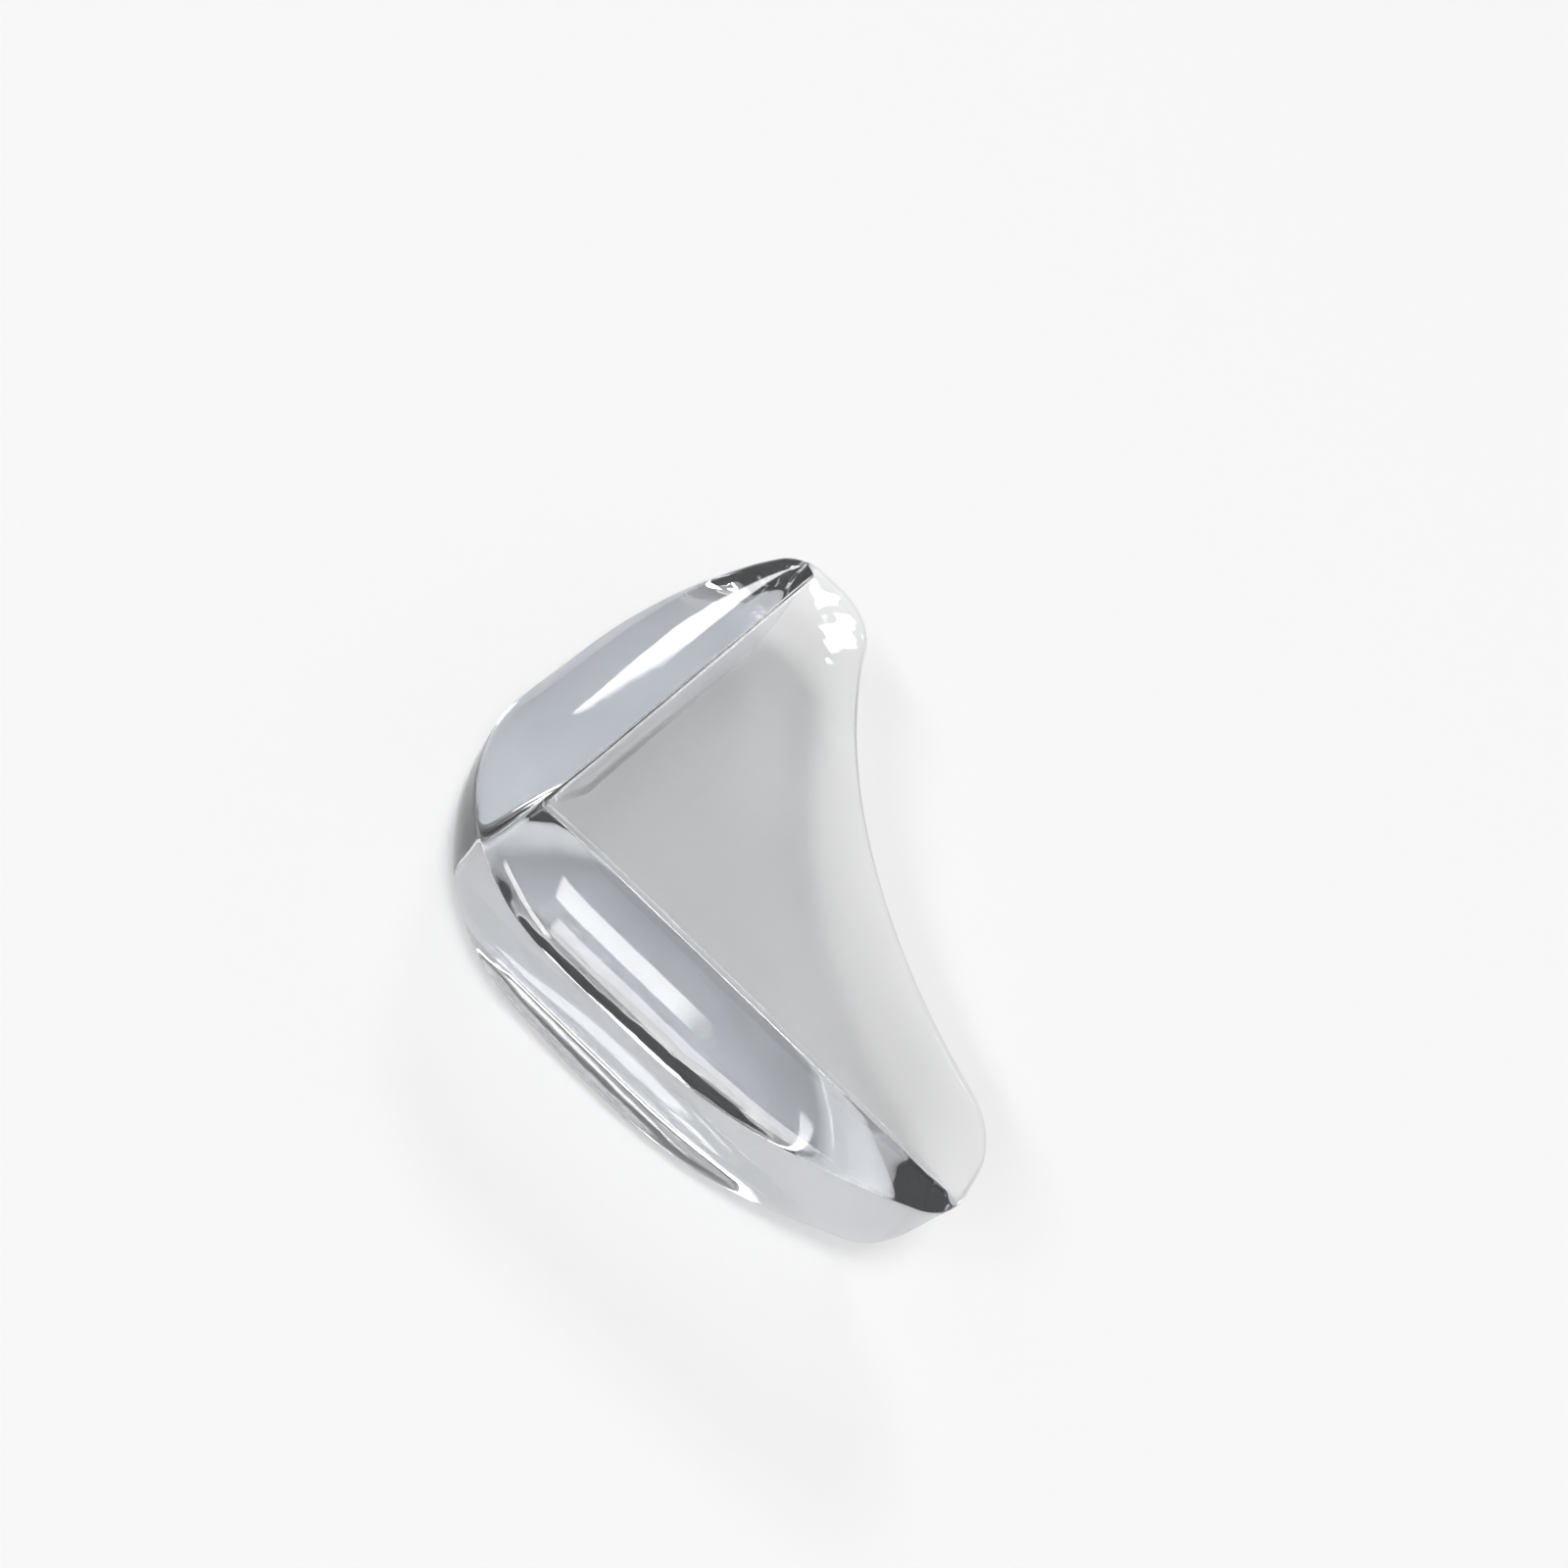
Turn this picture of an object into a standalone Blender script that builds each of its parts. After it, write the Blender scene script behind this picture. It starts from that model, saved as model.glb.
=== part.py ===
"""Clear corner protector: one moulded piece of soft PVC.

The plan is drawn around the pocket's inner corner, which lies at (0, 0) while the shape is
computed. One arm runs along +X and the other along +Y. The bumper lies outside the two
inner sides, which stand on the lines x = 0 and y = 0, and a thin flap reaches inwards
between the arms. The finished mesh is moved so that its origin is the centre of its base.
"""
import math

import bmesh
import bpy
from mathutils import Vector

MM = 0.001

# Driving dimensions, in millimetres.
BUMPER_WIDTH = 9.4          # from an inner side to the bumper's outer face
BUMPER_HEIGHT = 15.4        # from the base to the top of the flap
FLAP_THICKNESS = 1.4
NOSE_RADIUS = 19.8          # outer round at the corner, in plan
FLANK_RADIUS = 68.0         # the long taper of each arm, in plan
ARM_REACH = 51.5            # from the corner to the end of an arm
END_RADIUS = 5.0            # round where the taper turns into the flap's end
END_CENTRE_IN = 0.9         # centre of that round, inwards from the inner side
TIP_RADIUS = 1.2            # upright round at the tip of the bumper, under the flap
LOBE_RADIUS = 7.3           # outer round of the flap's two lobes
LOBE_CENTRE_IN = 3.6        # lobe centre, inwards from the inner side
WAIST_DIAGONAL = 35.1       # from the corner to the flap's waist, on the diagonal
SHOULDER_DROP = 3.9         # how far the bumper's top falls to its rim
FLAP_EDGE_DROP = 0.7        # the same at the thin edge of the flap
FLAP_EDGE_WIDTH = 0.9       # width of the rounding at the flap's edge
TOP_FLATNESS = 2.2          # higher keeps the shoulder flat for longer
RIM_FULLNESS = 1.25         # higher makes the rim rounder
BASE_ROUND_WIDTH = 1.5      # rounding under the arms, across and up
BASE_ROUND_HEIGHT = 2.3
NOSE_ROUND_WIDTH = 3.0      # deeper rounding under the nose
NOSE_ROUND_HEIGHT = 9.0
NOSE_FADE = 1.6             # length over which it fades, as a share of the nose's own
END_ROUND_WIDTH = 3.6       # the same under the ends of the arms
END_ROUND_HEIGHT = 8.5
END_FADE = 26.0             # length over which that one fades
POCKET_FILLET = 0.6         # between the flap's underside and the inner sides
POCKET_CORNER = 0.8         # upright fillet where the two inner sides meet
BASE_EDGE = 0.8             # rounding where the inner sides reach the base
DRAFT = 0.02                # lean of the outer wall, sideways per unit of height
BLEND_LENGTH = 2.5          # length over which the rounding sizes are evened out

# Number of segments on each piece of the half outline.
NOSE_STEPS = 12
STRAIGHT_STEPS = 6
FLANK_STEPS = 18
END_STEPS = 9
TIP_STEPS = 6
SIDE_STEPS = 1
LOBE_STEPS = 12
WAIST_STEPS = 12
SHOULDER_STEPS = 10
FILLET_STEPS = 3
BASE_STEPS = 6
CORNER_STEPS = 4
CLOSEST_SAMPLES = 0.3       # least gap beside the tip's sample, as a share of a flank step

SHARP_ANGLE = math.radians(32.0)


class Arc:
    """Arc around (cx, cy) from angle start to angle stop; inward is the side of the part."""

    def __init__(self, cx, cy, radius, start, stop):
        self.cx = cx
        self.cy = cy
        self.radius = radius
        self.start = start
        self.stop = stop
        self.length = radius * abs(stop - start)
        self.inward = -1.0 if stop > start else 1.0

    def at(self, t):
        angle = self.start + (self.stop - self.start) * t
        ux = math.cos(angle)
        uy = math.sin(angle)
        return (self.cx + self.radius * ux, self.cy + self.radius * uy,
                self.inward * ux, self.inward * uy)


class Line:
    """Straight piece from (ax, ay) to (bx, by) with the part on its left."""

    def __init__(self, ax, ay, bx, by):
        self.ax = ax
        self.ay = ay
        self.dx = bx - ax
        self.dy = by - ay
        self.length = math.hypot(self.dx, self.dy)

    def at(self, t):
        return (self.ax + self.dx * t, self.ay + self.dy * t,
                -self.dy / self.length, self.dx / self.length)


def half_outline():
    """Pieces from the middle of the nose, along the +X arm, to the middle of the waist."""
    nose_centre = NOSE_RADIUS - BUMPER_WIDTH
    flank_y = FLANK_RADIUS - BUMPER_WIDTH
    end_x = ARM_REACH - END_RADIUS
    end_y = END_CENTRE_IN
    flank_run = math.sqrt((FLANK_RADIUS - END_RADIUS) ** 2 - (flank_y - end_y) ** 2)
    flank_x = end_x - flank_run
    flank_stop = math.atan2(end_y - flank_y, flank_run)
    lobe_x = ARM_REACH - LOBE_RADIUS
    lobe_y = LOBE_CENTRE_IN
    waist = WAIST_DIAGONAL / math.sqrt(2.0)
    bulge = 2.0 * math.sqrt(2.0) * LOBE_RADIUS
    top = 2.0 * waist ** 2 - bulge * waist + LOBE_RADIUS ** 2 - lobe_x ** 2 - lobe_y ** 2
    waist_c = top / (4.0 * waist - 2.0 * (lobe_x + lobe_y) - bulge)
    waist_radius = (waist_c - waist) * math.sqrt(2.0)
    lobe_stop = math.atan2(waist_c - lobe_y, waist_c - lobe_x)
    return [
        (Arc(nose_centre, nose_centre, NOSE_RADIUS, math.radians(-135), math.radians(-90)), NOSE_STEPS),
        (Line(nose_centre, -BUMPER_WIDTH, flank_x, -BUMPER_WIDTH), STRAIGHT_STEPS),
        (Arc(flank_x, flank_y, FLANK_RADIUS, math.radians(-90), flank_stop), FLANK_STEPS),
        (Arc(end_x, end_y, END_RADIUS, flank_stop, 0.0), END_STEPS),
        (Line(ARM_REACH, end_y, ARM_REACH, lobe_y), SIDE_STEPS),
        (Arc(lobe_x, lobe_y, LOBE_RADIUS, 0.0, lobe_stop), LOBE_STEPS),
        (Arc(waist_c, waist_c, waist_radius, lobe_stop - math.pi, math.radians(-135)), WAIST_STEPS),
    ]


PIECES = half_outline()
NOSE_LENGTH = PIECES[0][0].length
OUTER_LENGTH = sum(piece.length for piece, steps in PIECES[:4])


def outline_at(s):
    """Point of the half outline at the length s from the middle of the nose."""
    for piece, steps in PIECES:
        if s <= piece.length:
            return piece.at(s / piece.length)
        s -= piece.length
    return PIECES[-1][0].at(1.0)


def tip_start(place):
    """Length at which the round of the tip leaves a row of the outer wall.

    place(s) gives the row's inset and the offset of the side that the round ends on.
    """
    low = NOSE_LENGTH
    high = OUTER_LENGTH
    for step in range(60):
        middle = 0.5 * (low + high)
        inset, offset = place(middle)
        x, y, nx, ny = outline_at(middle)
        if y + (inset + TIP_RADIUS) * ny < offset - TIP_RADIUS:
            low = middle
        else:
            high = middle
    return high


BUMPER_LENGTH = tip_start(lambda s: (0.0, POCKET_FILLET))
FLAP_START = -outline_at(BUMPER_LENGTH)[1]


def width_share(s):
    """How much of the full bumper width lies outside the inner side, from 0 to 1."""
    if s <= NOSE_LENGTH:
        return 1.0
    y = outline_at(s)[1]
    return min(1.0, max(0.0, (-y - FLAP_START) / (BUMPER_WIDTH - FLAP_START)))


def even(rule, s):
    """Average of a rule over BLEND_LENGTH of the outline, which keeps its change gentle."""
    taps = 9
    total = 0.0
    for k in range(taps):
        total += rule(abs(s + BLEND_LENGTH * (k / (taps - 1) - 0.5)))
    return total / taps


def shoulder_width(s):
    share = even(width_share, s)
    return BUMPER_WIDTH * share + FLAP_EDGE_WIDTH * (1.0 - share)


def shoulder_drop(s):
    """Fall of the top from the plateau to the rim: FLAP_EDGE_DROP from the bumper's tip on."""
    share = width_share(s) ** 2
    return SHOULDER_DROP * share + FLAP_EDGE_DROP * (1.0 - share)


def nose_share(s):
    """1 under the middle of the nose, fading to 0 along the arm."""
    t = min(1.0, s / (NOSE_FADE * NOSE_LENGTH))
    return 0.5 + 0.5 * math.cos(math.pi * t)


def end_share(s):
    """1 at the tip of the bumper, fading to 0 along the arm."""
    t = min(1.0, max(0.0, BUMPER_LENGTH - s) / END_FADE)
    return 0.5 + 0.5 * math.cos(math.pi * t)


def sample_lengths():
    """Sample positions along the half outline, and the number of them that the bumper takes."""
    lengths = [0.0]
    start = 0.0
    for piece, steps in PIECES:
        for k in range(1, steps + 1):
            lengths.append(start + piece.length * k / steps)
        start += piece.length
    least = CLOSEST_SAMPLES * PIECES[2][0].length / FLANK_STEPS
    before = [s for s in lengths if s < BUMPER_LENGTH - least]
    after = [s for s in lengths if s > BUMPER_LENGTH + least]
    return before + [BUMPER_LENGTH] + after, len(before) + 1


def inset_point(s, inset):
    x, y, nx, ny = outline_at(s)
    return x + inset * nx, y + inset * ny


def wall_inset(s, z):
    """How far the draft has moved the outer wall inwards at the height z."""
    return DRAFT * max(0.0, -z - shoulder_drop(s) - FLAP_EDGE_DROP)


def fillet_level(s, angle):
    """Inset and height of the outer wall's top rows, level with the fillet in the pocket."""
    z = FLAP_EDGE_DROP - FLAP_THICKNESS - shoulder_drop(s) - POCKET_FILLET * (1.0 - math.cos(angle))
    return wall_inset(s, z), z


def base_level(s, angle):
    """Inset and height of the rounding under the bumper at an angle of its quarter turn."""
    nose = nose_share(s)
    end = end_share(s)
    arm = 1.0 - nose - end
    across = BASE_ROUND_WIDTH * arm + NOSE_ROUND_WIDTH * nose + END_ROUND_WIDTH * end
    up = BASE_ROUND_HEIGHT * arm + NOSE_ROUND_HEIGHT * nose + END_ROUND_HEIGHT * end
    z = -BUMPER_HEIGHT + up * (1.0 - math.sin(angle))
    return across * (1.0 - math.cos(angle)) + wall_inset(s, z), z


def wall_levels():
    """Rules for the rows of the outer wall, from the flap's underside to the base."""
    levels = []
    for k in range(FILLET_STEPS + 1):
        levels.append(lambda s, angle=0.5 * math.pi * k / FILLET_STEPS: fillet_level(s, angle))
    for k in range(BASE_STEPS + 1):
        levels.append(lambda s, angle=0.5 * math.pi * k / BASE_STEPS: base_level(s, angle))
    return levels


def side_offset(z):
    """Place of the inner side at the height z: towards the pocket is positive."""
    above = z + FLAP_THICKNESS + POCKET_FILLET
    below = BASE_EDGE - BUMPER_HEIGHT - z
    if above > 0.0:
        return POCKET_FILLET - math.sqrt(max(0.0, POCKET_FILLET ** 2 - above ** 2))
    if below > 0.0:
        return math.sqrt(max(0.0, BASE_EDGE ** 2 - below ** 2)) - BASE_EDGE
    return 0.0


def wall_row(level, lengths):
    """Half row of the outer wall, round its tip to the side, and that side's offset there."""
    def place(s):
        inset, z = level(s)
        return inset, side_offset(z)

    stop = tip_start(place)
    half = []
    for s_full in lengths:
        s = s_full * stop / BUMPER_LENGTH
        inset, z = level(s)
        x, y = inset_point(s, inset)
        half.append((x, y, z))
    inset, z = level(stop)
    offset = side_offset(z)
    nx, ny = outline_at(stop)[2:]
    centre_x, centre_y = inset_point(stop, inset + TIP_RADIUS)
    first = math.atan2(-ny, -nx)
    for k in range(1, TIP_STEPS + 1):
        angle = first + (0.5 * math.pi - first) * k / TIP_STEPS
        x = centre_x + TIP_RADIUS * math.cos(angle)
        y = centre_y + TIP_RADIUS * math.sin(angle)
        half.append((x, y, z))
    return half, offset


def mirrored(points):
    """The half row and its mirror image in the diagonal, as one row from +Y arm to +X arm."""
    other = [(y, x, z) for x, y, z in reversed(points[1:])]
    return other + points


def build_guard():
    mesh = bpy.data.meshes.new("corner_guard")
    bm = bmesh.new()
    lengths, edge_count = sample_lengths()

    def row_of_verts(points):
        return [bm.verts.new(point) for point in points]

    def strip(upper, lower, closed):
        count = len(upper)
        for i in range(count if closed else count - 1):
            j = (i + 1) % count
            bm.faces.new((upper[i], lower[i], lower[j], upper[j]))

    # Top: rows from the flat plateau out to the rim, all round the part.
    rows = []
    for k in range(SHOULDER_STEPS + 1):
        angle = 0.5 * math.pi * k / SHOULDER_STEPS
        out = math.sin(angle) ** (2.0 / TOP_FLATNESS)
        height = max(0.0, math.cos(angle)) ** (2.0 / RIM_FULLNESS)
        half = []
        for s in lengths:
            x, y = inset_point(s, shoulder_width(s) * (1.0 - out))
            half.append((x, y, -shoulder_drop(s) * (1.0 - height)))
        full = mirrored(half)
        rows.append(row_of_verts(full[1:]))
    for upper, lower in zip(rows, rows[1:]):
        strip(upper, lower, True)
    bm.faces.new(rows[0])

    # The rim between the bumper's two tips.
    rim = rows[-1]
    middle = len(lengths) - 2
    first = middle - (edge_count - 1)
    last = middle + (edge_count - 1)
    bumper_rim = rim[first:last + 1]

    # Outer wall: from just below the rim, down and around the base rounding. Each row goes
    # round the tips and ends on the inner sides.
    wall = []
    offsets = []
    for level in wall_levels():
        half, offset = wall_row(level, lengths[:edge_count])
        wall.append(row_of_verts(mirrored(half)))
        offsets.append(offset)
    strip(bumper_rim, wall[0][TIP_STEPS:-TIP_STEPS], False)
    for upper, lower in zip(wall, wall[1:]):
        strip(upper, lower, False)

    # Inner sides: one row at each of the same heights, around the inner corner.
    sides = []
    for row, offset in zip(wall, offsets):
        radius = POCKET_CORNER - offset
        z = row[0].co.z
        turn = []
        for k in range(CORNER_STEPS + 1):
            angle = math.pi + 0.5 * math.pi * k / CORNER_STEPS
            x = POCKET_CORNER + radius * math.cos(angle)
            y = POCKET_CORNER + radius * math.sin(angle)
            turn.append((x, y, z))
        sides.append([row[0]] + row_of_verts(turn) + [row[-1]])
    for upper, lower in zip(sides, sides[1:]):
        strip(upper, lower, False)

    # Edge of the flap: from the rounding down to its underside.
    flap_rim = rim[last:] + rim[:first + 1]
    flap_low = [wall[0][-1 - TIP_STEPS]]
    for vert in flap_rim[1:-1]:
        flap_low.append(bm.verts.new((vert.co.x, vert.co.y, -FLAP_THICKNESS)))
    flap_low.append(wall[0][TIP_STEPS])
    strip(flap_rim, flap_low, False)

    # Flat faces: underside of the flap, and the base.
    x_tip = wall[0][-2:-1 - TIP_STEPS:-1]
    y_tip = wall[0][TIP_STEPS - 1:0:-1]
    bm.faces.new(sides[0] + x_tip + flap_low + y_tip)
    bm.faces.new(sides[-1] + wall[-1][-2:0:-1])

    bmesh.ops.recalc_face_normals(bm, faces=bm.faces)
    bmesh.ops.triangulate(bm, faces=[face for face in bm.faces if len(face.verts) > 4])

    # Move the origin to the centre of the base and go from millimetres to metres.
    centre = 0.5 * (ARM_REACH - BUMPER_WIDTH)
    for vert in bm.verts:
        vert.co = (vert.co + Vector((-centre, -centre, BUMPER_HEIGHT))) * MM
    bm.to_mesh(mesh)
    bm.free()
    mesh.shade_smooth()
    mesh.set_sharp_from_angle(angle=SHARP_ANGLE)
    return mesh


def clear_pvc():
    material = bpy.data.materials.new("clear_pvc")
    material.use_nodes = True
    shader = material.node_tree.nodes["Principled BSDF"]
    shader.inputs["Base Color"].default_value = (0.90, 0.92, 0.94, 1.0)
    shader.inputs["Roughness"].default_value = 0.05
    shader.inputs["Metallic"].default_value = 0.0
    shader.inputs["Transmission Weight"].default_value = 1.0
    shader.inputs["IOR"].default_value = 1.53
    return material


def main():
    for item in list(bpy.data.objects):
        bpy.data.objects.remove(item, do_unlink=True)
    guard = bpy.data.objects.new("corner_guard", build_guard())
    guard.data.materials.append(clear_pvc())
    bpy.context.scene.collection.objects.link(guard)


main()
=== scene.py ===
"""Clear corner protector: its fine surface, clear plastic, floor, light and camera."""
import math

import bmesh
import bpy
from mathutils import Matrix, Vector


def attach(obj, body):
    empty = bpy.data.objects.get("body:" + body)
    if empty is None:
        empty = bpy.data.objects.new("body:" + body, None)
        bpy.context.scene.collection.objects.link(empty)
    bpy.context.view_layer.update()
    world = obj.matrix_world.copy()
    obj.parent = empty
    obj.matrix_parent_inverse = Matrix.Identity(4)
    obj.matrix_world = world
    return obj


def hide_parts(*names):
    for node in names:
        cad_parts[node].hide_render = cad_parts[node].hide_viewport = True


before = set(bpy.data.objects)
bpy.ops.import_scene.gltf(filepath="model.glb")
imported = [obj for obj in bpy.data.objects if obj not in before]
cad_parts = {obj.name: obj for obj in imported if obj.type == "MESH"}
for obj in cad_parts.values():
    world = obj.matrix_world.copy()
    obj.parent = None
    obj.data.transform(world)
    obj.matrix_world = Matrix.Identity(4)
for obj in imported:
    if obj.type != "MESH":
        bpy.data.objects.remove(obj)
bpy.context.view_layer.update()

MM = 0.001

# The form, in millimetres, by the same rules as the solid and in finer steps.
BUMPER_WIDTH = 9.4          # from an inner side to the bumper's outer face
BUMPER_HEIGHT = 15.4        # from the base to the top of the flap
FLAP_THICKNESS = 1.4
NOSE_RADIUS = 19.8          # outer round at the corner, in plan
FLANK_RADIUS = 68.0         # the long taper of each arm, in plan
ARM_REACH = 51.5            # from the corner to the end of an arm
END_RADIUS = 5.0            # round where the taper turns into the flap's end
END_CENTRE_IN = 0.9         # centre of that round, inwards from the inner side
TIP_RADIUS = 1.2            # upright round at the tip of the bumper, under the flap
LOBE_RADIUS = 7.3           # outer round of the flap's two lobes
LOBE_CENTRE_IN = 3.6        # lobe centre, inwards from the inner side
WAIST_DIAGONAL = 35.1       # from the corner to the flap's waist, on the diagonal
SHOULDER_DROP = 3.9         # how far the bumper's top falls to its rim
FLAP_EDGE_DROP = 0.7        # the same at the thin edge of the flap
FLAP_EDGE_WIDTH = 0.9       # width of the rounding at the flap's edge
TOP_FLATNESS = 2.2          # higher keeps the shoulder flat for longer
RIM_FULLNESS = 1.25         # higher makes the rim rounder
BASE_ROUND_WIDTH = 1.5      # rounding under the arms, across and up
BASE_ROUND_HEIGHT = 2.3
NOSE_ROUND_WIDTH = 3.0      # deeper rounding under the nose
NOSE_ROUND_HEIGHT = 9.0
NOSE_FADE = 1.6             # length over which it fades, as a share of the nose's own
END_ROUND_WIDTH = 3.6       # the same under the ends of the arms
END_ROUND_HEIGHT = 8.5
END_FADE = 26.0             # length over which that one fades
POCKET_FILLET = 0.6         # between the flap's underside and the inner sides
POCKET_CORNER = 0.8         # upright fillet where the two inner sides meet
BASE_EDGE = 0.8             # rounding where the inner sides reach the base
DRAFT = 0.02                # lean of the outer wall, sideways per unit of height
BLEND_LENGTH = 2.5          # length over which the rounding sizes are evened out
BLEND_SAMPLES = 17          # number of samples in that average

# From the inner corner to the middle of the part, in X and in Y.
TO_CENTRE = 0.5 * (ARM_REACH - BUMPER_WIDTH)

# Number of segments on each piece of the half outline, and down the section.
NOSE_STEPS = 48
STRAIGHT_STEPS = 16
FLANK_STEPS = 60
END_STEPS = 24
TIP_STEPS = 16
SIDE_STEPS = 4
LOBE_STEPS = 36
WAIST_STEPS = 48
SHOULDER_STEPS = 36
FILLET_STEPS = 8
WALL_STEPS = 8
BASE_STEPS = 20
CORNER_STEPS = 12
CLOSEST_SAMPLES = 0.3       # least gap beside the tip's sample, as a share of a flank step
BISECTIONS = 60             # halvings in the search for the start of the tip's round

SHARP_ANGLE = math.radians(28.0)    # edges sharper than this are shaded as edges


class Arc:
    """Arc around (cx, cy) from angle start to angle stop; inward is the side of the part."""

    def __init__(self, cx, cy, radius, start, stop):
        self.cx = cx
        self.cy = cy
        self.radius = radius
        self.start = start
        self.stop = stop
        self.length = radius * abs(stop - start)
        self.inward = -1.0 if stop > start else 1.0

    def at(self, t):
        """Point at the share t of the arc, and the direction into the part there."""
        angle = self.start + (self.stop - self.start) * t
        ux = math.cos(angle)
        uy = math.sin(angle)
        return (self.cx + self.radius * ux, self.cy + self.radius * uy,
                self.inward * ux, self.inward * uy)


class Line:
    """Straight piece from (ax, ay) to (bx, by) with the part on its left."""

    def __init__(self, ax, ay, bx, by):
        self.ax = ax
        self.ay = ay
        self.dx = bx - ax
        self.dy = by - ay
        self.length = math.hypot(self.dx, self.dy)

    def at(self, t):
        """Point at the share t of the line, and the direction into the part there."""
        return (self.ax + self.dx * t, self.ay + self.dy * t,
                -self.dy / self.length, self.dx / self.length)


def half_outline():
    """Pieces from the middle of the nose, along the +X arm, to the middle of the waist."""
    nose_centre = NOSE_RADIUS - BUMPER_WIDTH
    flank_y = FLANK_RADIUS - BUMPER_WIDTH
    end_x = ARM_REACH - END_RADIUS
    end_y = END_CENTRE_IN
    flank_run = math.sqrt((FLANK_RADIUS - END_RADIUS) ** 2 - (flank_y - end_y) ** 2)
    flank_x = end_x - flank_run
    flank_stop = math.atan2(end_y - flank_y, flank_run)
    lobe_x = ARM_REACH - LOBE_RADIUS
    lobe_y = LOBE_CENTRE_IN

    # The waist is an arc with its centre on the diagonal that touches the lobe's arc, so its
    # radius and the lobe's add up to the distance between their centres.
    waist = WAIST_DIAGONAL / math.sqrt(2.0)
    bulge = 2.0 * math.sqrt(2.0) * LOBE_RADIUS
    known = 2.0 * waist ** 2 - bulge * waist + LOBE_RADIUS ** 2 - lobe_x ** 2 - lobe_y ** 2
    waist_c = known / (4.0 * waist - 2.0 * (lobe_x + lobe_y) - bulge)
    waist_radius = (waist_c - waist) * math.sqrt(2.0)
    lobe_stop = math.atan2(waist_c - lobe_y, waist_c - lobe_x)
    return [
        (Arc(nose_centre, nose_centre, NOSE_RADIUS, math.radians(-135), math.radians(-90)),
         NOSE_STEPS),
        (Line(nose_centre, -BUMPER_WIDTH, flank_x, -BUMPER_WIDTH), STRAIGHT_STEPS),
        (Arc(flank_x, flank_y, FLANK_RADIUS, math.radians(-90), flank_stop), FLANK_STEPS),
        (Arc(end_x, end_y, END_RADIUS, flank_stop, 0.0), END_STEPS),
        (Line(ARM_REACH, end_y, ARM_REACH, lobe_y), SIDE_STEPS),
        (Arc(lobe_x, lobe_y, LOBE_RADIUS, 0.0, lobe_stop), LOBE_STEPS),
        (Arc(waist_c, waist_c, waist_radius, lobe_stop - math.pi, math.radians(-135)),
         WAIST_STEPS),
    ]


PIECES = half_outline()
NOSE_LENGTH = PIECES[0][0].length
OUTER_LENGTH = sum(piece.length for piece, steps in PIECES[:4])


def outline_at(s):
    """Point of the half outline at the length s from the middle of the nose."""
    for piece, steps in PIECES:
        if s <= piece.length:
            return piece.at(s / piece.length)
        s -= piece.length
    return PIECES[-1][0].at(1.0)


def tip_start(place):
    """Length at which the round of the tip leaves a row of the outer wall.

    place(s) gives the row's inset and the offset of the side that the round ends on.
    """
    low = NOSE_LENGTH
    high = OUTER_LENGTH
    for halving in range(BISECTIONS):
        middle = 0.5 * (low + high)
        inset, offset = place(middle)
        x, y, nx, ny = outline_at(middle)
        if y + (inset + TIP_RADIUS) * ny < offset - TIP_RADIUS:
            low = middle
        else:
            high = middle
    return high


BUMPER_LENGTH = tip_start(lambda s: (0.0, POCKET_FILLET))
FLAP_START = -outline_at(BUMPER_LENGTH)[1]


def width_share(s):
    """How much of the full bumper width lies outside the inner side, from 0 to 1."""
    if s <= NOSE_LENGTH:
        return 1.0
    y = outline_at(s)[1]
    return min(1.0, max(0.0, (-y - FLAP_START) / (BUMPER_WIDTH - FLAP_START)))


def even(rule, s):
    """Average of a rule over BLEND_LENGTH of the outline, which keeps its change gentle."""
    total = 0.0
    for k in range(BLEND_SAMPLES):
        total += rule(abs(s + BLEND_LENGTH * (k / (BLEND_SAMPLES - 1) - 0.5)))
    return total / BLEND_SAMPLES


def shoulder_width(s):
    """Width of the rounded shoulder: all of the bumper, or FLAP_EDGE_WIDTH on the flap."""
    share = even(width_share, s)
    return BUMPER_WIDTH * share + FLAP_EDGE_WIDTH * (1.0 - share)


def shoulder_drop(s):
    """Fall of the top from the plateau to the rim: FLAP_EDGE_DROP from the bumper's tip on."""
    share = width_share(s) ** 2
    return SHOULDER_DROP * share + FLAP_EDGE_DROP * (1.0 - share)


def nose_share(s):
    """1 under the middle of the nose, fading to 0 along the arm."""
    t = min(1.0, s / (NOSE_FADE * NOSE_LENGTH))
    return 0.5 + 0.5 * math.cos(math.pi * t)


def end_share(s):
    """1 at the tip of the bumper, fading to 0 along the arm."""
    t = min(1.0, max(0.0, BUMPER_LENGTH - s) / END_FADE)
    return 0.5 + 0.5 * math.cos(math.pi * t)


def sample_lengths():
    """Sample positions along the half outline, and the number of them that the bumper takes."""
    lengths = [0.0]
    start = 0.0
    for piece, steps in PIECES:
        for k in range(1, steps + 1):
            lengths.append(start + piece.length * k / steps)
        start += piece.length
    least = CLOSEST_SAMPLES * PIECES[2][0].length / FLANK_STEPS
    before = [s for s in lengths if s < BUMPER_LENGTH - least]
    after = [s for s in lengths if s > BUMPER_LENGTH + least]
    return before + [BUMPER_LENGTH] + after, len(before) + 1


def inset_point(s, inset):
    """Point of the half outline moved into the part by the inset."""
    x, y, nx, ny = outline_at(s)
    return x + inset * nx, y + inset * ny


def wall_inset(s, z):
    """How far the draft has moved the outer wall inwards at the height z."""
    return DRAFT * max(0.0, -z - shoulder_drop(s) - FLAP_EDGE_DROP)


def fillet_level(s, angle):
    """Inset and height of the outer wall's top rows, level with the fillet in the pocket."""
    z = FLAP_EDGE_DROP - FLAP_THICKNESS - shoulder_drop(s) - POCKET_FILLET * (1.0 - math.cos(angle))
    return wall_inset(s, z), z


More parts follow.
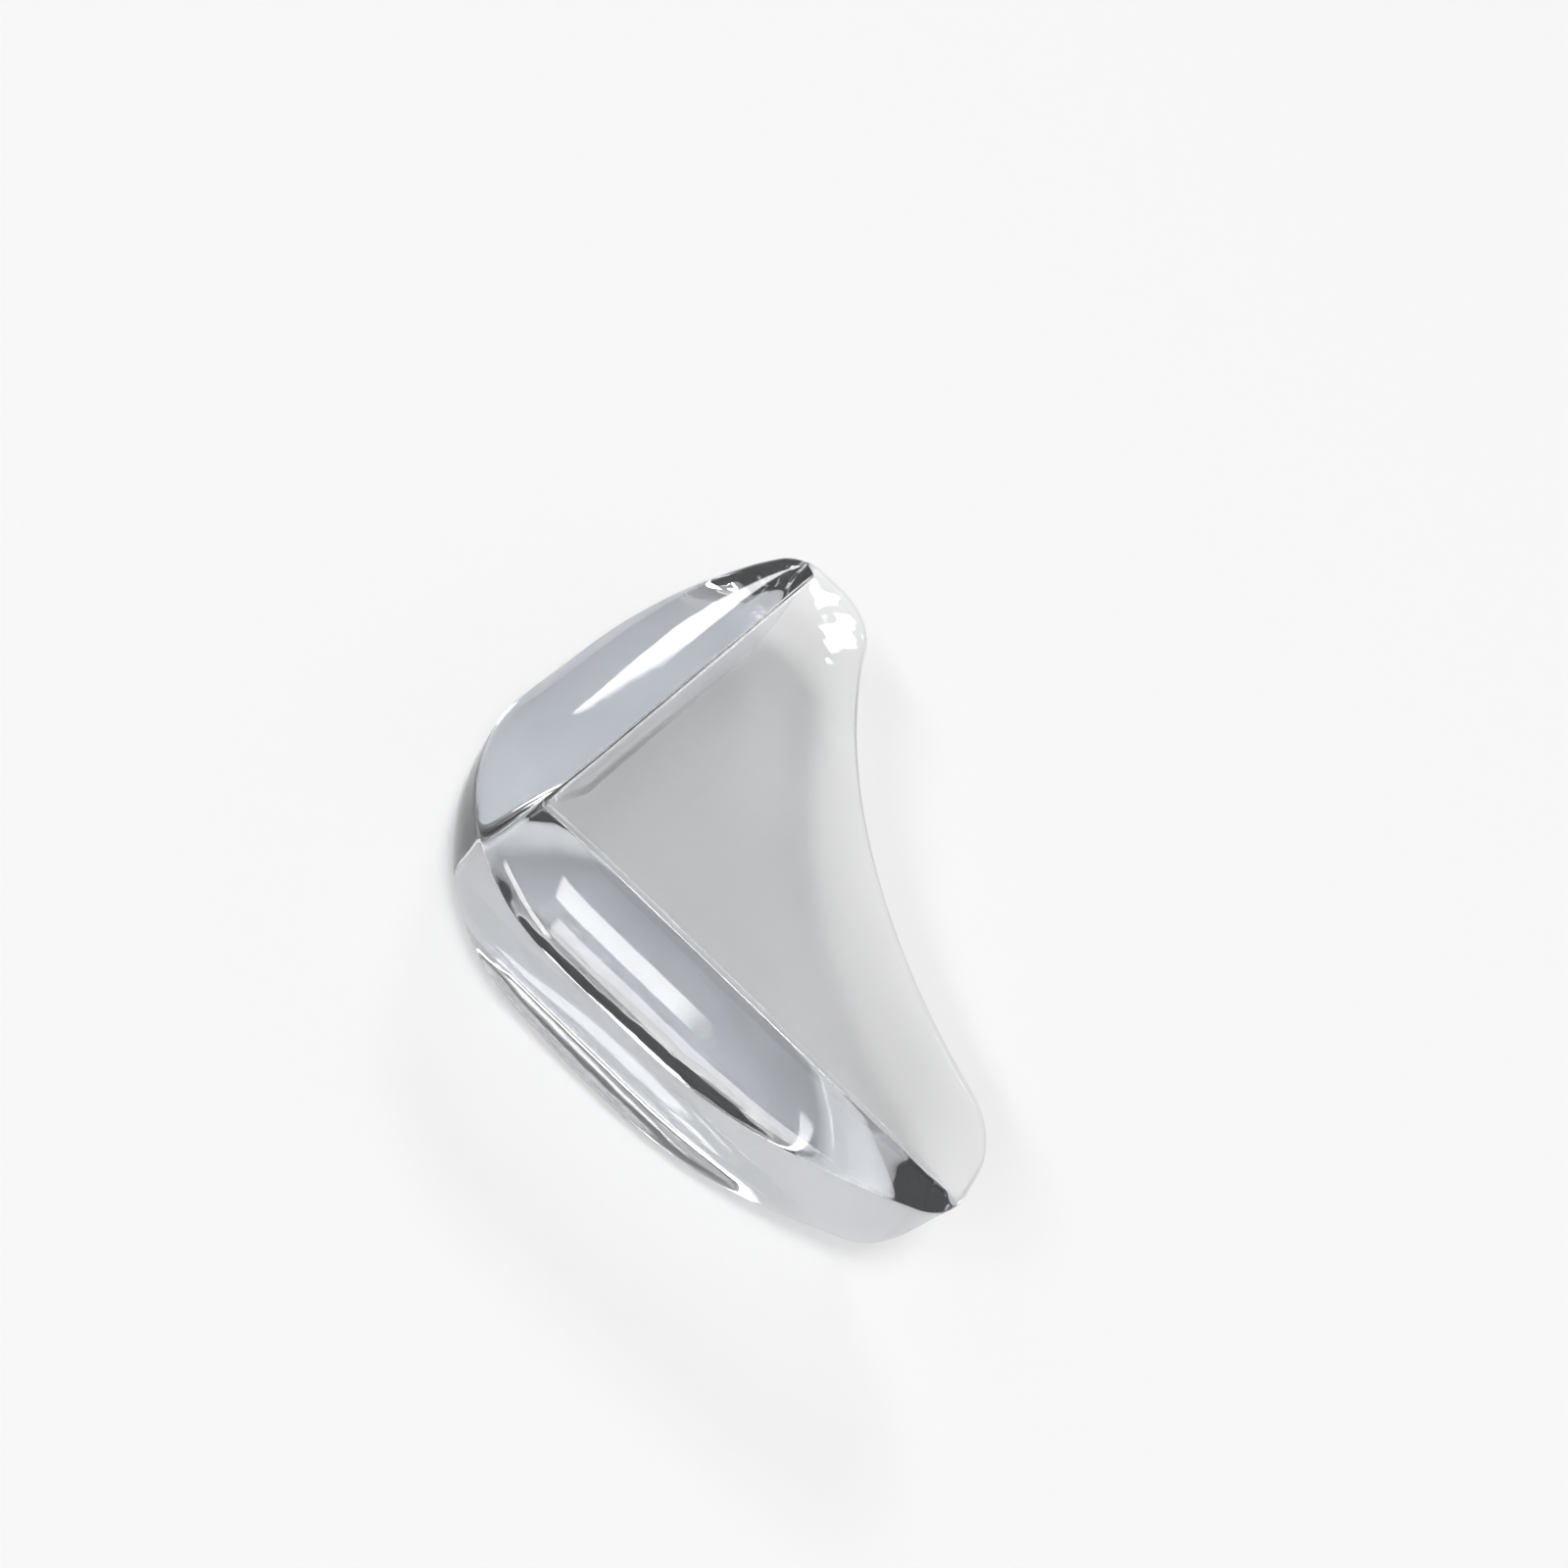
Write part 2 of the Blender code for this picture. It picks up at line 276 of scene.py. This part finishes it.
def base_level(s, angle):
    """Inset and height of the rounding under the bumper at an angle of its quarter turn."""
    nose = nose_share(s)
    end = end_share(s)
    arm = 1.0 - nose - end
    across = BASE_ROUND_WIDTH * arm + NOSE_ROUND_WIDTH * nose + END_ROUND_WIDTH * end
    up = BASE_ROUND_HEIGHT * arm + NOSE_ROUND_HEIGHT * nose + END_ROUND_HEIGHT * end
    z = -BUMPER_HEIGHT + up * (1.0 - math.sin(angle))
    return across * (1.0 - math.cos(angle)) + wall_inset(s, z), z


def straight_level(s, share):
    """Inset and height of a row between the fillet's last row and the base rounding's first."""
    high_inset, high = fillet_level(s, 0.5 * math.pi)
    low_inset, low = base_level(s, 0.0)
    return high_inset + (low_inset - high_inset) * share, high + (low - high) * share


def wall_levels():
    """Rules for the rows of the outer wall, from the flap's underside to the base."""
    levels = []
    for k in range(FILLET_STEPS + 1):
        levels.append(lambda s, angle=0.5 * math.pi * k / FILLET_STEPS: fillet_level(s, angle))
    for k in range(1, WALL_STEPS):
        levels.append(lambda s, share=k / WALL_STEPS: straight_level(s, share))
    for k in range(BASE_STEPS + 1):
        levels.append(lambda s, angle=0.5 * math.pi * k / BASE_STEPS: base_level(s, angle))
    return levels


def side_offset(z):
    """Place of the inner side at the height z: towards the pocket is positive."""
    above = z + FLAP_THICKNESS + POCKET_FILLET
    below = BASE_EDGE - BUMPER_HEIGHT - z
    if above > 0.0:
        return POCKET_FILLET - math.sqrt(max(0.0, POCKET_FILLET ** 2 - above ** 2))
    if below > 0.0:
        return math.sqrt(max(0.0, BASE_EDGE ** 2 - below ** 2)) - BASE_EDGE
    return 0.0


def wall_row(level, lengths):
    """Half row of the outer wall, round its tip to the side, and that side's offset there."""
    def place(s):
        inset, z = level(s)
        return inset, side_offset(z)

    stop = tip_start(place)
    half = []
    for s_full in lengths:
        s = s_full * stop / BUMPER_LENGTH
        inset, z = level(s)
        x, y = inset_point(s, inset)
        half.append((x, y, z))
    inset, z = level(stop)
    offset = side_offset(z)
    nx, ny = outline_at(stop)[2:]
    centre_x, centre_y = inset_point(stop, inset + TIP_RADIUS)
    first = math.atan2(-ny, -nx)
    for k in range(1, TIP_STEPS + 1):
        angle = first + (0.5 * math.pi - first) * k / TIP_STEPS
        x = centre_x + TIP_RADIUS * math.cos(angle)
        y = centre_y + TIP_RADIUS * math.sin(angle)
        half.append((x, y, z))
    return half, offset


def mirrored(points):
    """The half row and its mirror image in the diagonal, as one row from +Y arm to +X arm."""
    other = [(y, x, z) for x, y, z in reversed(points[1:])]
    return other + points


def add_row(bm, points):
    return [bm.verts.new(point) for point in points]


def add_strip(bm, upper, lower, closed=False):
    """Faces between two rows of the same length."""
    count = len(upper)
    for i in range(count if closed else count - 1):
        j = (i + 1) % count
        bm.faces.new((upper[i], lower[i], lower[j], upper[j]))


def add_strips(bm, rows, closed=False):
    for upper, lower in zip(rows, rows[1:]):
        add_strip(bm, upper, lower, closed)


def add_top(bm, lengths):
    """Top of the part, from the flat plateau out to the rim, all round. Returns the rim."""
    rows = []
    for k in range(SHOULDER_STEPS + 1):
        angle = 0.5 * math.pi * k / SHOULDER_STEPS
        out = math.sin(angle) ** (2.0 / TOP_FLATNESS)
        height = max(0.0, math.cos(angle)) ** (2.0 / RIM_FULLNESS)
        half = []
        for s in lengths:
            x, y = inset_point(s, shoulder_width(s) * (1.0 - out))
            half.append((x, y, -shoulder_drop(s) * (1.0 - height)))
        # The row is closed, so the middle of the waist is left out at one end.
        rows.append(add_row(bm, mirrored(half)[1:]))
    add_strips(bm, rows, closed=True)
    bm.faces.new(rows[0])
    return rows[-1]


def add_wall(bm, lengths):
    """Outer wall, from the flap's underside to the base, round the tips to the inner sides.

    Returns its rows and the offset of the inner sides at each of them.
    """
    rows = []
    offsets = []
    for level in wall_levels():
        half, offset = wall_row(level, lengths)
        rows.append(add_row(bm, mirrored(half)))
        offsets.append(offset)
    add_strips(bm, rows)
    return rows, offsets


def add_sides(bm, wall, offsets):
    """Inner sides: one row at each height of the wall, round the inner corner."""
    rows = []
    for row, offset in zip(wall, offsets):
        radius = POCKET_CORNER - offset
        z = row[0].co.z
        turn = []
        for k in range(CORNER_STEPS + 1):
            angle = math.pi + 0.5 * math.pi * k / CORNER_STEPS
            x = POCKET_CORNER + radius * math.cos(angle)
            y = POCKET_CORNER + radius * math.sin(angle)
            turn.append((x, y, z))
        rows.append([row[0]] + add_row(bm, turn) + [row[-1]])
    add_strips(bm, rows)
    return rows


def build_surface():
    """The whole part as one closed mesh, in metres, with its origin as in the frame."""
    bm = bmesh.new()
    lengths, edge_count = sample_lengths()
    rim = add_top(bm, lengths)
    wall, offsets = add_wall(bm, lengths[:edge_count])
    sides = add_sides(bm, wall, offsets)

    # The rim meets the wall between the bumper's two tips, and the flap's edge elsewhere.
    nose = len(lengths) - 2     # place of the nose's middle in the rim
    first = nose - (edge_count - 1)
    last = nose + (edge_count - 1)
    add_strip(bm, rim[first:last + 1], wall[0][TIP_STEPS:-TIP_STEPS])
    flap_rim = rim[last:] + rim[:first + 1]
    flap_low = [wall[0][-1 - TIP_STEPS]]
    for vert in flap_rim[1:-1]:
        flap_low.append(bm.verts.new((vert.co.x, vert.co.y, -FLAP_THICKNESS)))
    flap_low.append(wall[0][TIP_STEPS])
    add_strip(bm, flap_rim, flap_low)

    # Flat faces: underside of the flap, and the base.
    x_tip = wall[0][-2:-1 - TIP_STEPS:-1]
    y_tip = wall[0][TIP_STEPS - 1:0:-1]
    bm.faces.new(sides[0] + x_tip + flap_low + y_tip)
    bm.faces.new(sides[-1] + wall[-1][-2:0:-1])

    bmesh.ops.recalc_face_normals(bm, faces=bm.faces)
    bmesh.ops.triangulate(bm, faces=[face for face in bm.faces if len(face.verts) > 4])
    for vert in bm.verts:
        vert.co = (vert.co + Vector((-TO_CENTRE, -TO_CENTRE, BUMPER_HEIGHT))) * MM

    mesh = bpy.data.meshes.new("protector_body")
    bm.to_mesh(mesh)
    bm.free()
    mesh.shade_smooth()
    mesh.set_sharp_from_angle(angle=SHARP_ANGLE)
    return mesh


def add_node(tree, kind, where, **values):
    """New node of a kind, at a place in the node editor, with its properties set."""
    node = tree.nodes.new(kind)
    node.location = where
    for key, value in values.items():
        setattr(node, key, value)
    return node


def set_ramp(ramp, stops):
    """Give a colour ramp its stops, each a position and a colour."""
    elements = ramp.color_ramp.elements
    while len(elements) < len(stops):
        elements.new(0.5)
    for element, (place, colour) in zip(elements, stops):
        element.position = place
        element.color = colour + (1.0,)


PLASTIC_IOR = 1.53                      # soft PVC
HAZE = 0.025                            # share of the light that the plastic scatters

# Faint clouding, as stops of a colour ramp over noise.
CLOUD_SCALE = 60.0
CLOUD_DETAIL = 3.0
CLOUD_TINTS = ((0.35, (0.98, 0.985, 0.99)), (0.7, (1.0, 1.0, 1.0)))

# Painted shade: darker where the surface is seen at a glancing angle, as dark edge lines that stand
# in for the dark surroundings the plastic refracts there, as stops over that angle.
PAINTED_EDGE_BLEND = 0.5
PAINTED_EDGE_SHADE = ((0.80, (1.0, 1.0, 1.0)), (0.99, (0.42, 0.45, 0.50)))

# Cold tint of the thick bumper, and half the length over which it starts.
THICK_TINT = (0.925, 0.948, 0.98)
THICK_FADE = 0.2 * MM

# Handling marks in the roughness, taken over a range of noise.
MARK_SCALE = 240.0
MARK_DETAIL = 6.0
MARK_RANGE = (0.35, 0.75)
ROUGHNESS_RANGE = (0.004, 0.02)

# Shallow waviness left by the mould, and ripples that grow towards the flap's free edge.
WAVE_SCALE = 130.0
WAVE_DETAIL = 2.0
WAVE_DEPTH = 0.0002
WAVE_STRENGTH = 0.2
RIPPLE_LENGTH = 2.6 * MM
RIPPLE_DISTORTION = 2.5
RIPPLE_DETAIL = 1.0
RIPPLE_HEIGHT = 0.03                    # as a share of the waviness
RIPPLE_FADE = (24.0 * MM, 31.0 * MM)    # from the corner, on the diagonal

INNER_SIDE = -TO_CENTRE * MM


def object_noise(tree, coord, where, scale, detail):
    """Noise in the part's own coordinates."""
    noise = add_node(tree, "ShaderNodeTexNoise", where)
    noise.inputs["Scale"].default_value = scale
    noise.inputs["Detail"].default_value = detail
    tree.links.new(coord.outputs["Object"], noise.inputs["Vector"])
    return noise.outputs["Fac"]


def plastic_colour(tree, coord):
    """Clouding, times the painted shade at glancing angles, times the cold tint of the bumper."""
    cloud = object_noise(tree, coord, (-1000, 300), CLOUD_SCALE, CLOUD_DETAIL)
    tint = add_node(tree, "ShaderNodeValToRGB", (-750, 300))
    set_ramp(tint, CLOUD_TINTS)
    tree.links.new(cloud, tint.inputs["Fac"])
    # Painted shade: the colour darkens towards glancing angles, which draws dark lines along the
    # edges.
    facing = add_node(tree, "ShaderNodeLayerWeight", (-750, 550))
    facing.inputs["Blend"].default_value = PAINTED_EDGE_BLEND
    edge_shade = add_node(tree, "ShaderNodeValToRGB", (-550, 550))
    set_ramp(edge_shade, PAINTED_EDGE_SHADE)
    tree.links.new(facing.outputs["Facing"], edge_shade.inputs["Fac"])
    mix = add_node(tree, "ShaderNodeMix", (-300, 400), data_type="RGBA", blend_type="MULTIPLY")
    mix.inputs["Factor"].default_value = 1.0
    tree.links.new(tint.outputs["Color"], mix.inputs["A"])
    tree.links.new(edge_shade.outputs["Color"], mix.inputs["B"])

    # The bumper is where X or Y lies outside the inner sides.
    place = add_node(tree, "ShaderNodeSeparateXYZ", (-1000, 800))
    tree.links.new(coord.outputs["Object"], place.inputs["Vector"])
    least = add_node(tree, "ShaderNodeMath", (-750, 800), operation="MINIMUM")
    tree.links.new(place.outputs["X"], least.inputs[0])
    tree.links.new(place.outputs["Y"], least.inputs[1])
    thick = add_node(tree, "ShaderNodeMapRange", (-550, 800))
    thick.inputs["From Min"].default_value = INNER_SIDE + THICK_FADE
    thick.inputs["From Max"].default_value = INNER_SIDE - THICK_FADE
    tree.links.new(least.outputs["Value"], thick.inputs["Value"])
    cold = add_node(tree, "ShaderNodeMix", (-150, 600), data_type="RGBA", blend_type="MULTIPLY")
    cold.inputs["B"].default_value = THICK_TINT + (1.0,)
    tree.links.new(thick.outputs["Result"], cold.inputs["Factor"])
    tree.links.new(mix.outputs["Result"], cold.inputs["A"])
    return cold.outputs["Result"]


def plastic_roughness(tree, coord):
    """Polished, with faint handling marks."""
    marks = object_noise(tree, coord, (-1000, 0), MARK_SCALE, MARK_DETAIL)
    rough = add_node(tree, "ShaderNodeMapRange", (-750, 0))
    rough.inputs["From Min"].default_value = MARK_RANGE[0]
    rough.inputs["From Max"].default_value = MARK_RANGE[1]
    rough.inputs["To Min"].default_value = ROUGHNESS_RANGE[0]
    rough.inputs["To Max"].default_value = ROUGHNESS_RANGE[1]
    tree.links.new(marks, rough.inputs["Value"])
    return rough.outputs["Result"]


def plastic_bump(tree, coord):
    """Waviness all over, and ripples across the flap's free edge that fade to the corner."""
    wave = object_noise(tree, coord, (-1000, -300), WAVE_SCALE, WAVE_DETAIL)
    turn = add_node(tree, "ShaderNodeMapping", (-1200, -600))
    turn.inputs["Rotation"].default_value = (0.0, 0.0, 0.25 * math.pi)
    tree.links.new(coord.outputs["Object"], turn.inputs["Vector"])
    ripple = add_node(tree, "ShaderNodeTexWave", (-1000, -600), wave_type="BANDS")
    ripple.inputs["Scale"].default_value = math.pi / (10.0 * RIPPLE_LENGTH)
    ripple.inputs["Distortion"].default_value = RIPPLE_DISTORTION
    ripple.inputs["Detail"].default_value = RIPPLE_DETAIL
    ripple.inputs["Detail Scale"].default_value = 1.0
    tree.links.new(turn.outputs["Vector"], ripple.inputs["Vector"])
    turned = add_node(tree, "ShaderNodeSeparateXYZ", (-1000, -900))
    tree.links.new(turn.outputs["Vector"], turned.inputs["Vector"])
    share = add_node(tree, "ShaderNodeMapRange", (-750, -900), interpolation_type="SMOOTHSTEP")
    share.inputs["From Min"].default_value = RIPPLE_FADE[0] + INNER_SIDE * math.sqrt(2.0)
    share.inputs["From Max"].default_value = RIPPLE_FADE[1] + INNER_SIDE * math.sqrt(2.0)
    share.inputs["To Max"].default_value = RIPPLE_HEIGHT
    tree.links.new(turned.outputs["Y"], share.inputs["Value"])
    height = add_node(tree, "ShaderNodeMath", (-600, -450), operation="MULTIPLY_ADD")
    tree.links.new(ripple.outputs["Fac"], height.inputs[0])
    tree.links.new(share.outputs["Result"], height.inputs[1])
    tree.links.new(wave, height.inputs[2])
    bump = add_node(tree, "ShaderNodeBump", (-450, -300))
    bump.inputs["Strength"].default_value = WAVE_STRENGTH
    bump.inputs["Distance"].default_value = WAVE_DEPTH
    tree.links.new(height.outputs["Value"], bump.inputs["Height"])
    return bump.outputs["Normal"]


def clear_pvc():
    material = bpy.data.materials.new("clear_pvc_surface")
    material.use_nodes = True
    tree = material.node_tree
    shader = tree.nodes["Principled BSDF"]
    shader.inputs["Transmission Weight"].default_value = 1.0 - HAZE
    shader.inputs["IOR"].default_value = PLASTIC_IOR
    shader.inputs["Metallic"].default_value = 0.0
    coord = add_node(tree, "ShaderNodeTexCoord", (-1400, 0))
    tree.links.new(plastic_colour(tree, coord), shader.inputs["Base Color"])
    tree.links.new(plastic_roughness(tree, coord), shader.inputs["Roughness"])
    tree.links.new(plastic_bump(tree, coord), shader.inputs["Normal"])
    return material


FLOOR_HALF = 4.0
FLOOR_GAP = 0.0002          # keeps the floor clear of the part's flat base
FLOOR_COLOUR = (0.92, 0.92, 0.92)
FLOOR_ROUGHNESS = 0.9
FLOOR_GLOSS = 0.1           # specular level, low for a matt floor


def floor_material():
    material = bpy.data.materials.new("studio_floor")
    material.use_nodes = True
    shader = material.node_tree.nodes["Principled BSDF"]
    shader.inputs["Base Color"].default_value = FLOOR_COLOUR + (1.0,)
    shader.inputs["Roughness"].default_value = FLOOR_ROUGHNESS
    shader.inputs["Specular IOR Level"].default_value = FLOOR_GLOSS
    return material


def add_floor():
    mesh = bpy.data.meshes.new("floor")
    corners = []
    for x, y in ((-1, -1), (1, -1), (1, 1), (-1, 1)):
        corners.append((x * FLOOR_HALF, y * FLOOR_HALF, -FLOOR_GAP))
    mesh.from_pydata(corners, [], [(0, 1, 2, 3)])
    floor = bpy.data.objects.new("floor", mesh)
    mesh.materials.append(floor_material())
    bpy.context.scene.collection.objects.link(floor)


# The light is all in the world. The sky's stops go from the horizon at 0 towards straight up
# at 1, as the sine of the elevation.
SKY_STOPS = (
    (0.0, (0.26, 0.26, 0.262)),
    (0.25, (0.32, 0.32, 0.323)),
    (0.5, (0.38, 0.38, 0.384)),
)
SKY_STRENGTH = 1.06

# Soft cards in the sky. Each has the direction of its middle, the direction of its width, half
# its width and half its height one unit away, and its brightness.
CARDS = (
    ((-0.10, -0.16, 1.0), (1, 0, 0), 0.15, 0.15, 10.0),         # overhead softbox
    ((0.05, -0.62, 0.80), (1, 0, 0), 0.22, 0.16, 6.6),          # above the camera
    ((-0.45, 0.75, 0.6), (1, 0, 0), 0.12, 0.12, 10.0),          # behind, on the left
    ((-0.4, -0.62, 0.6), (1, -0.5, 0), 0.30, 0.05, 10.0),       # strip on the camera's side
    ((-0.15, 0.62, 0.80), (1, 0, 0), 1.0, 0.20, 0.01),          # black card, high behind
    ((-0.076, 0.788, 0.611), (1, 0, 0), 0.009, 0.007, 8.0),     # pane on the flap's lobe
    ((-0.047, 0.782, 0.621), (1, 0, 0.6), 0.013, 0.011, 8.0),   # second pane beside it
)
CARD_SOFTNESS = 0.12        # half the fade at a card's edge, as a share of its half size
LEAST_AHEAD = 0.001         # keeps the division safe behind a card
CARD_ROW = 250              # between the cards' nodes in the node editor


def card_mask(tree, coord, row, card):
    """Factor that is 1 on a card in the sky and 0 around it."""
    aim, width_way, half_width, half_height = card[:4]
    forward = Vector(aim).normalized()
    across = Vector(width_way) - Vector(width_way).dot(forward) * forward
    across.normalize()
    shares = []
    for axis in (forward, across, forward.cross(across)):
        dot = add_node(tree, "ShaderNodeVectorMath", (-1200, row), operation="DOT_PRODUCT")
        dot.inputs[1].default_value = axis
        tree.links.new(coord.outputs["Generated"], dot.inputs[0])
        shares.append(dot.outputs["Value"])
    ahead = add_node(tree, "ShaderNodeMath", (-1000, row), operation="MAXIMUM")
    ahead.inputs[1].default_value = LEAST_AHEAD
    tree.links.new(shares[0], ahead.inputs[0])
    sides = []
    for share, half in ((shares[1], half_width), (shares[2], half_height)):
        ratio = add_node(tree, "ShaderNodeMath", (-800, row), operation="DIVIDE")
        tree.links.new(share, ratio.inputs[0])
        tree.links.new(ahead.outputs["Value"], ratio.inputs[1])
        size = add_node(tree, "ShaderNodeMath", (-600, row), operation="ABSOLUTE")
        tree.links.new(ratio.outputs["Value"], size.inputs[0])
        side = add_node(tree, "ShaderNodeMapRange", (-400, row), interpolation_type="SMOOTHSTEP")
        side.inputs["From Min"].default_value = half * (1.0 + CARD_SOFTNESS)
        side.inputs["From Max"].default_value = half * (1.0 - CARD_SOFTNESS)
        tree.links.new(size.outputs["Value"], side.inputs["Value"])
        sides.append(side.outputs["Result"])
    both = add_node(tree, "ShaderNodeMath", (-200, row), operation="MULTIPLY")
    tree.links.new(sides[0], both.inputs[0])
    tree.links.new(sides[1], both.inputs[1])
    return both.outputs["Value"]


def add_world():
    """The sky, with each card laid over it in turn."""
    world = bpy.data.worlds.new("studio")
    world.use_nodes = True
    tree = world.node_tree
    background = tree.nodes["Background"]
    coord = add_node(tree, "ShaderNodeTexCoord", (-1600, 0))
    split = add_node(tree, "ShaderNodeSeparateXYZ", (-1400, 300))
    ramp = add_node(tree, "ShaderNodeValToRGB", (-450, 300))
    set_ramp(ramp, SKY_STOPS)
    tree.links.new(coord.outputs["Generated"], split.inputs["Vector"])
    tree.links.new(split.outputs["Z"], ramp.inputs["Fac"])
    sky = ramp.outputs["Color"]
    for k, card in enumerate(CARDS):
        row = -CARD_ROW * k
        brightness = card[-1]
        mix = add_node(tree, "ShaderNodeMix", (0, row), data_type="RGBA")
        tree.links.new(card_mask(tree, coord, row, card), mix.inputs["Factor"])
        tree.links.new(sky, mix.inputs["A"])
        mix.inputs["B"].default_value = (brightness, brightness, brightness, 1.0)
        sky = mix.outputs["Result"]
    tree.links.new(sky, background.inputs["Color"])
    background.inputs["Strength"].default_value = SKY_STRENGTH
    bpy.context.scene.world = world


# The camera, from the photograph: angles in degrees, distance and shift in VIEW_UNIT. The
# shift is how far the inner corner lies to the right of the picture's middle and above it.
VIEW_UNIT = 50.0 * MM
VIEW_AZIMUTH = 1.0
VIEW_ELEVATION = 44.2
VIEW_ROLL = 43.2
VIEW_DISTANCE = 2.778
VIEW_SHIFT = (-0.4215, -0.0205)
VIEW_LENS = 36.0            # millimetres, the same as the width of the sensor
VIEW_CLIP = (0.005, 20.0)


def add_camera():
    azimuth = math.radians(VIEW_AZIMUTH)
    elevation = math.radians(VIEW_ELEVATION)
    roll = math.radians(VIEW_ROLL)
    back = Vector((math.sin(azimuth) * math.cos(elevation),
                   -math.cos(azimuth) * math.cos(elevation),
                   math.sin(elevation)))
    right = Vector((0, 0, 1)).cross(back).normalized()
    up = back.cross(right)
    rolled_right = math.cos(roll) * right + math.sin(roll) * up
    rolled_up = -math.sin(roll) * right + math.cos(roll) * up
    corner = Vector((-TO_CENTRE, -TO_CENTRE, BUMPER_HEIGHT)) * MM
    eye = corner - VIEW_UNIT * (VIEW_SHIFT[0] * rolled_right + VIEW_SHIFT[1] * rolled_up
                                - VIEW_DISTANCE * back)
    data = bpy.data.cameras.new("camera")
    data.lens = VIEW_LENS
    data.sensor_width = VIEW_LENS
    data.clip_start = VIEW_CLIP[0]
    data.clip_end = VIEW_CLIP[1]
    camera = bpy.data.objects.new("camera", data)
    matrix = Matrix((rolled_right, rolled_up, back)).transposed().to_4x4()
    matrix.translation = eye
    camera.matrix_world = matrix
    bpy.context.scene.collection.objects.link(camera)
    bpy.context.scene.camera = camera


body = bpy.data.objects.new("protector_body", build_surface())
body.data.materials.append(clear_pvc())
bpy.context.scene.collection.objects.link(body)
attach(body, "root")
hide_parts("corner_guard")

add_floor()
add_world()
add_camera()

bpy.context.scene.view_settings.view_transform = "Standard"
